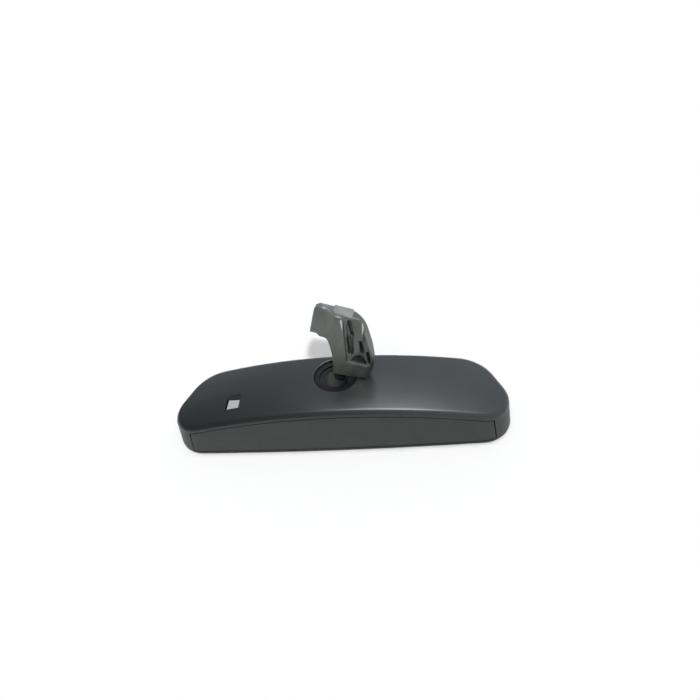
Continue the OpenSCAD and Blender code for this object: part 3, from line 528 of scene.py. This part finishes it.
def hanging_bosses():
    """Screw bosses for the socket plate and posts for the panel's clips, which hang from the crown."""
    for sx in (-1, 1):
        for sy in (-1, 1):
            x, y = BALL[0] + sx * PLATE_PITCH[0] / 2, BALL[1] + sy * PLATE_PITCH[1] / 2
            top = crown(x, y) - WALL - SHELL_GAP
            yield tube("boss", x, y, PLATE_TOP, top, BOSS_D / 2, BOSS_BORE / 2)
    for x in POSTS_X:
        yield tube("post", x, POST_Y, POST_FOOT, crown(x, POST_Y) - WALL - SHELL_GAP, POST_D / 2)


# Middle and reach of the painted light patch beside the arm, which lightens the crown where the arm's
# reflection and shade darken it, and the levels below the crown's edge where the wall turns matt
LIGHT_PATCH_AT, LIGHT_PATCH_REACH = (18, -8), (11, 10)
MATT_BELOW = (-1, 0.5)


def mark_housing(mesh):
    points = mesh_points(mesh)
    # Painted light: a lighter patch on the crown beside the arm, where the arm's reflection and shade darken
    # it
    away = (points[:, :2] - LIGHT_PATCH_AT) / LIGHT_PATCH_REACH
    store_mark(mesh, "painted_light_patch", np.exp(-(away ** 2).sum(1)))
    x, y, z = points.T
    store_mark(mesh, "matte", ramp(crown(x, y) - EDGE_R - z, *MATT_BELOW))


housing = shell("housing_shell")
combine(housing, panel_region(SEAM_GAP / 2), "DIFFERENCE")
add_window_tray(housing)
soften(housing, CUT_EDGE)
take_result(housing)
add_shells(housing, hanging_bosses())
shade(housing)
mark_housing(housing.data)
weigh_normals(housing)
paint(housing, "housing_plastic")
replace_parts(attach(housing, "mirror_body"), "rear_housing")


# Trim panel on the near wall, with the clip eyes that grip the posts

def panel_hooks():
    for x in POSTS_X:
        front = NEAR_LINE - NEAR_BOW * bow(x) + WALL + SHELL_GAP
        hook = block("hook", (x - HOOK_W / 2, front, HOOK_Z),
                     (x + HOOK_W / 2, POST_Y + HOOK_W / 2, HOOK_Z + HOOK_H))
        eye = tube("eye", x, POST_Y, HOOK_Z - OVER, HOOK_Z + HOOK_H + OVER, POST_D / 2 + POST_GAP)
        combine(hook, eye, "DIFFERENCE")
        yield hook


panel = shell("trim_panel")
combine(panel, panel_region(-SEAM_GAP / 2), "INTERSECT")
soften(panel, CUT_EDGE)
take_result(panel)
add_shells(panel, panel_hooks())
shade(panel)
weigh_normals(panel)
paint(panel, "panel_plastic")
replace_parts(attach(panel, "mirror_body"), "lower_trim_panel")


# Bezel: one profile of insets and heights swept round the outline

FRONT_CURVE = 2.7
# Levels between the widest line and the split, and the share of its radius where a quarter round is halfway
SPLIT_LEVELS, HALF_ROUND = (0.5, 0.92), 0.3


def bezel_rings():
    rings = []
    for w in shares(FRONT_STEPS):
        rings.append(flat_ring(outline(0, FRONT_INSET * (1 - w) ** FRONT_CURVE), WIDEST_Z * w))
    for w in SPLIT_LEVELS:
        rings.append(flat_ring(outline(SPLIT_LEAN * w, 0), WIDEST_Z + (BEZEL_H - WIDEST_Z) * w))
    rings.append(flat_ring(outline(SPLIT_LEAN, BEZEL_EDGE), BEZEL_H))
    inside = (
        (BEZEL_WALL - BEZEL_EDGE, BEZEL_H),
        (BEZEL_WALL, BEZEL_H - BEZEL_EDGE),
        (BEZEL_WALL, LIP_T),
        (LIP_W - BEZEL_EDGE, LIP_T),
        (LIP_W, LIP_T - BEZEL_EDGE),
        (LIP_W, LIP_R),
        (LIP_W - LIP_R * HALF_ROUND, LIP_R * HALF_ROUND),
        (LIP_W - LIP_R, 0),
        (FRONT_INSET + FRONT_FLAT, 0),
    )
    return rings + [flat_ring(outline(0, inset), z) for inset, z in inside]


bezel = loft("bezel_frame", bezel_rings())
shade(bezel)
paint(bezel, "bezel_plastic")
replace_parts(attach(bezel, "mirror_body"), "bezel")


# Arm: the CAD solid with its edges worn round like a casting

class Relaxer:
    """Moves mesh points towards the mean of their neighbours."""

    def __init__(self, mesh):
        ends = np.empty(len(mesh.edges) * 2, dtype=np.int64)
        mesh.edges.foreach_get("vertices", ends)
        self.a, self.b = ends[0::2], ends[1::2]
        self.n = len(mesh.vertices)
        self.links = np.maximum(np.bincount(ends, minlength=self.n), 1)

    def mean(self, values):
        out = np.bincount(self.a, values[self.b], self.n) + np.bincount(self.b, values[self.a], self.n)
        return out / self.links

    def relaxed(self, points, rounds, share=1.0):
        """Points after some rounds, each halfway to the mean or a share of that."""
        columns = [points[:, k] for k in range(3)]
        for _ in range(rounds):
            columns = [c + share * 0.5 * (self.mean(c) - c) for c in columns]
        return np.stack(columns, 1)


# Rounds of smoothing: for all edges, for the near top, and to find hollows and edges
ALL_ROUNDS, TOP_ROUNDS, HOLLOW_ROUNDS, EDGE_ROUNDS = 6, 14, 60, 16
# Where the marks start and are full, in the arm frame: X to the heel, Y to the far side, Z to the foot
NEAR_TOP_Z, NEAR_TOP_Y = (ARM_TOP - 7, ARM_TOP), (-1, -3)
UNDER_TOP_Z, LOW_Z = (ARM_TOP + 2, ARM_TOP - 4), (ARM_BASE + 14, ARM_BASE + 2)
UPPER_Z, CREST_Z = (ARM_TOP - 20, ARM_TOP - 8), (ARM_TOP + 4, ARM_TOP + 9)
FIELD_Y, SLOT_Y, FAR_SIDE_Y, STREAK_Y = (-6.4, -5.6), (-4.6, -3.2), (2, 0), (-3, -4)
FLANK_X, FLANK_Z = (7.6, 9.2), (ARM_BASE + 8, ARM_BASE + 20)
# The same for a normal's part towards the near side and the heel, and for the depth of hollows and edges
FACING, HEEL_FACING = (0.5, 0.9), (0.25, 0.7)
HOLLOW_DEPTH, SLOT_DEPTH, EDGE_HEIGHT, CREST_HEIGHT = (0.05, 0.8), (-0.2, 0.2), (0.12, 0.45), (-0.05, 0.25)
# Shares of painted shade, and of wear and painted highlights
HOLLOW_SHADE, FIELD_SHADE, SLOT_SHADE, LOW_SHADE, HEEL_SHADE = 0.65, 0.28, 0.3, 0.05, 0.35
FLANK_SHADE, FLANK_FACING_SHADE = 0.35, 0.5
LOWER_WEAR, CREST_HIGHLIGHT = 0.25, 0.6
# Painted highlights on the near face, as bright streaks: start and end in X and Z, and half the width at the
# start
HIGHLIGHT_STREAKS = (((-8.0, 66.5), (-5.6, 57.5), 1.1), ((6.6, 66.5), (7.7, 56.5), 1.3))
STREAK_TIP, STREAK_SOFT = 0.05, (1, 0.4)


def highlight_streak_share(x, z, start, end, half):
    """Share of a painted highlight streak at each point, for a streak that narrows from its start to its tip.
    """
    along = np.subtract(end, start)
    place = np.stack([x, z], 1) - start
    t = np.clip(place @ along / (along @ along), 0, 1)
    away = np.linalg.norm(place - t[:, None] * along, axis=1)
    return ramp(away / (half * (1 + STREAK_TIP - t)), *STREAK_SOFT)


def round_edges_and_paint_marks(mesh):
    """Rounds the casting's edges, most at the near top, and stores from 0 to 1 its painted shade and its edge
    wear with painted highlights.
    """
    points = mesh_points(mesh)
    relaxer = Relaxer(mesh)
    turn = np.array(Matrix.Rotation(ARM_TURN, 3, "Z") @ Matrix.Rotation(ARM_LEAN, 3, "Y"))
    x, y, z = ((points - BALL) @ turn).T
    points = relaxer.relaxed(points, ALL_ROUNDS)
    points = relaxer.relaxed(points, TOP_ROUNDS, ramp(z, *NEAR_TOP_Z) * ramp(y, *NEAR_TOP_Y))
    mesh.vertices.foreach_set("co", (points * MM).ravel())
    mesh.update()
    normals = vertex_values(mesh, "normal")
    normal_x, normal_y, _ = (normals @ turn).T
    hollows = -((points - relaxer.relaxed(points, HOLLOW_ROUNDS)) * normals).sum(1)
    edges = ((points - relaxer.relaxed(points, EDGE_ROUNDS)) * normals).sum(1)

    facing, under_top, low = ramp(-normal_y, *FACING), ramp(z, *UNDER_TOP_Z), ramp(z, *LOW_Z)
    slots = ramp(y, *SLOT_Y) * ramp(y, *FAR_SIDE_Y) * ramp(hollows, *SLOT_DEPTH) * under_top
    flank = ramp(x, *FLANK_X) * under_top * ramp(z, *FLANK_Z)
    # Painted shade: darker in hollows, on the recessed field, in the slots, low down, on heel-facing sides
    # and on the flank, where shade falls
    painted_shades = (
        HOLLOW_SHADE * ramp(hollows, *HOLLOW_DEPTH),
        FIELD_SHADE * facing * ramp(y, *FIELD_Y) * under_top,
        SLOT_SHADE * slots,
        LOW_SHADE * low,
        HEEL_SHADE * ramp(normal_x, *HEEL_FACING) * under_top,
        flank * (FLANK_SHADE + FLANK_FACING_SHADE * facing),
    )
    unshaded = np.prod([1 - painted_shade for painted_shade in painted_shades], axis=0)
    # Edge wear, stronger higher up where it also stands for painted highlights, and a painted highlight along
    # the crest
    wear_and_highlight = ramp(edges, *EDGE_HEIGHT) * (LOWER_WEAR + (1 - LOWER_WEAR) * ramp(z, *UPPER_Z)) * (1 - low)
    wear_and_highlight = np.maximum(wear_and_highlight, CREST_HIGHLIGHT * ramp(z, *CREST_Z) * ramp(edges, *CREST_HEIGHT))
    # Painted highlight streaks, which also take the painted shade away where they lie
    for start, end, half in HIGHLIGHT_STREAKS:
        highlight_streak = highlight_streak_share(x, z, start, end, half) * ramp(y, *STREAK_Y)
        wear_and_highlight, unshaded = np.maximum(wear_and_highlight, highlight_streak), np.maximum(unshaded, highlight_streak)
    store_mark(mesh, "painted_shade", 1 - unshaded)
    store_mark(mesh, "wear_and_highlight", wear_and_highlight)


arm = bpy.data.objects.new("arm_casting", nodes["arm"].data.copy())
scene.collection.objects.link(arm)
remesh = arm.modifiers.new("remesh", "REMESH")
remesh.mode, remesh.voxel_size = "VOXEL", ARM_VOXEL * MM
take_result(arm)
round_edges_and_paint_marks(arm.data)
shade(arm, 180)
paint(arm, "cast_alloy")
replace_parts(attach(arm, "arm_body"), "arm")


# Floor, in metres, just below the part

FLOOR_SIZE, FLOOR_Z, FLOOR_COLOUR = 12, -0.0002, (0.95, 0.95, 0.95, 1)


def floor_material():
    m = bpy.data.materials.new("floor_white")
    m.use_nodes = True
    m.node_tree.nodes.clear()
    t = Nodes(m.node_tree)
    diffuse = t.add("ShaderNodeBsdfDiffuse", {"Color": FLOOR_COLOUR})
    t.add("ShaderNodeOutputMaterial", {"Surface": diffuse.outputs[0]})
    return m


bpy.ops.mesh.primitive_plane_add(size=FLOOR_SIZE, location=(0, 0, FLOOR_Z))
floor = bpy.context.object
floor.name = "floor"
floor.data.materials.append(floor_material())


# World

AMBIENT, AMBIENT_COLOUR, WHITE = 0.20, (0.95, 0.97, 1.0, 1), (1, 1, 1, 1)
ROOM_COLOUR = (0.90, 1.0, 1.08, 1)
# Parts of the room: direction, cosines where it starts and is full, and the strength at each
ROOM = (
    ((0.97, 0.24, 0.0), -0.78, 0.39, 0.03, 1.12),
    ((0.10, 0.36, 0.93), 0.93, 1.0, 0.0, 0.8),
    ((-0.55, 0.80, 0.25), 0.90, 1.0, 0.0, 0.45),
    ((-0.50, -0.45, 0.74), 0.90, 1.0, 0.0, -0.25),
)


def build_world(world):
    """Dim even light; camera rays see white, and reflections see a pale room that is darker to the left."""
    world.use_nodes = True
    world.node_tree.nodes.clear()
    t = Nodes(world.node_tree)

    def background(colour, strength):
        return t.add("ShaderNodeBackground", {"Color": colour, "Strength": strength}).outputs[0]

    def layer(share, under, over):
        return t.add("ShaderNodeMixShader", {0: share, 1: under, 2: over}).outputs[0]

    ray = t.add("ShaderNodeLightPath").outputs
    direction = t.add("ShaderNodeTexCoord").outputs["Generated"]
    level = 0.0
    for way, start, full, low, high in ROOM:
        ways = {0: direction, 1: Vector(way).normalized()}
        along = t.add("ShaderNodeVectorMath", ways, operation="DOT_PRODUCT").outputs["Value"]
        part = t.span(along, start, full, low, high, interpolation_type="SMOOTHSTEP")
        level = t.maths("ADD", level, part)
    room = background(ROOM_COLOUR, t.maths("MAXIMUM", level, 0.0))
    reflected = t.maths("MAXIMUM", ray["Is Glossy Ray"], ray["Is Transmission Ray"])
    lit = layer(reflected, background(AMBIENT_COLOUR, AMBIENT), room)
    shown = layer(ray["Is Camera Ray"], lit, background(WHITE, 1.0))
    t.add("ShaderNodeOutputWorld", {"Surface": shown})


scene.view_settings.view_transform = "Standard"
scene.world = bpy.data.worlds.new("studio")
build_world(scene.world)


# Lamps

def soft_sun(name, way, energy, angle):
    """Sun that is not seen in reflections."""
    data = bpy.data.lights.new(name, "SUN")
    data.energy, data.angle = energy, math.radians(angle)
    obj = bpy.data.objects.new(name, data)
    obj.visible_glossy = False
    obj.rotation_mode = "QUATERNION"
    obj.rotation_quaternion = Vector(way).to_track_quat("Z", "Y")
    scene.collection.objects.link(obj)


def overhead(name, place, size, power):
    """Flat lamp that looks straight down and is only seen in reflections."""
    data = bpy.data.lights.new(name, "AREA")
    data.shape, data.energy = "RECTANGLE", power
    data.size, data.size_y = size
    obj = bpy.data.objects.new(name, data)
    obj.location = place
    obj.visible_diffuse = False
    scene.collection.objects.link(obj)


soft_sun("key", way=(0.225, -0.617, 0.755), energy=1.93, angle=2.8)
soft_sun("top", way=(0.06, -0.40, 1.0), energy=1.38, angle=50)
overhead("panel_core", place=(0.20, 0.19, 1.11), size=(0.28, 0.30), power=6.8)
overhead("panel_wide", place=(0.225, 0.19, 1.11), size=(0.75, 0.30), power=4.6)


# Camera, from the fit to the photograph's outline: focal length and side of the photograph in pixels

FOCAL, PHOTO_SIDE = 558.35, 700
CAMERA_AT, CAMERA_TURN = (0.06298, -0.28448, 0.32740), (47.888, 7.326, 3.013)
camera = bpy.data.objects.new("camera", bpy.data.cameras.new("camera"))
camera.data.sensor_width = 36.0
camera.data.lens = FOCAL / PHOTO_SIDE * camera.data.sensor_width
camera.location = CAMERA_AT
camera.rotation_euler = [math.radians(a) for a in CAMERA_TURN]
camera.data.clip_start, camera.data.clip_end = 0.01, 50
scene.collection.objects.link(camera)
scene.camera = camera
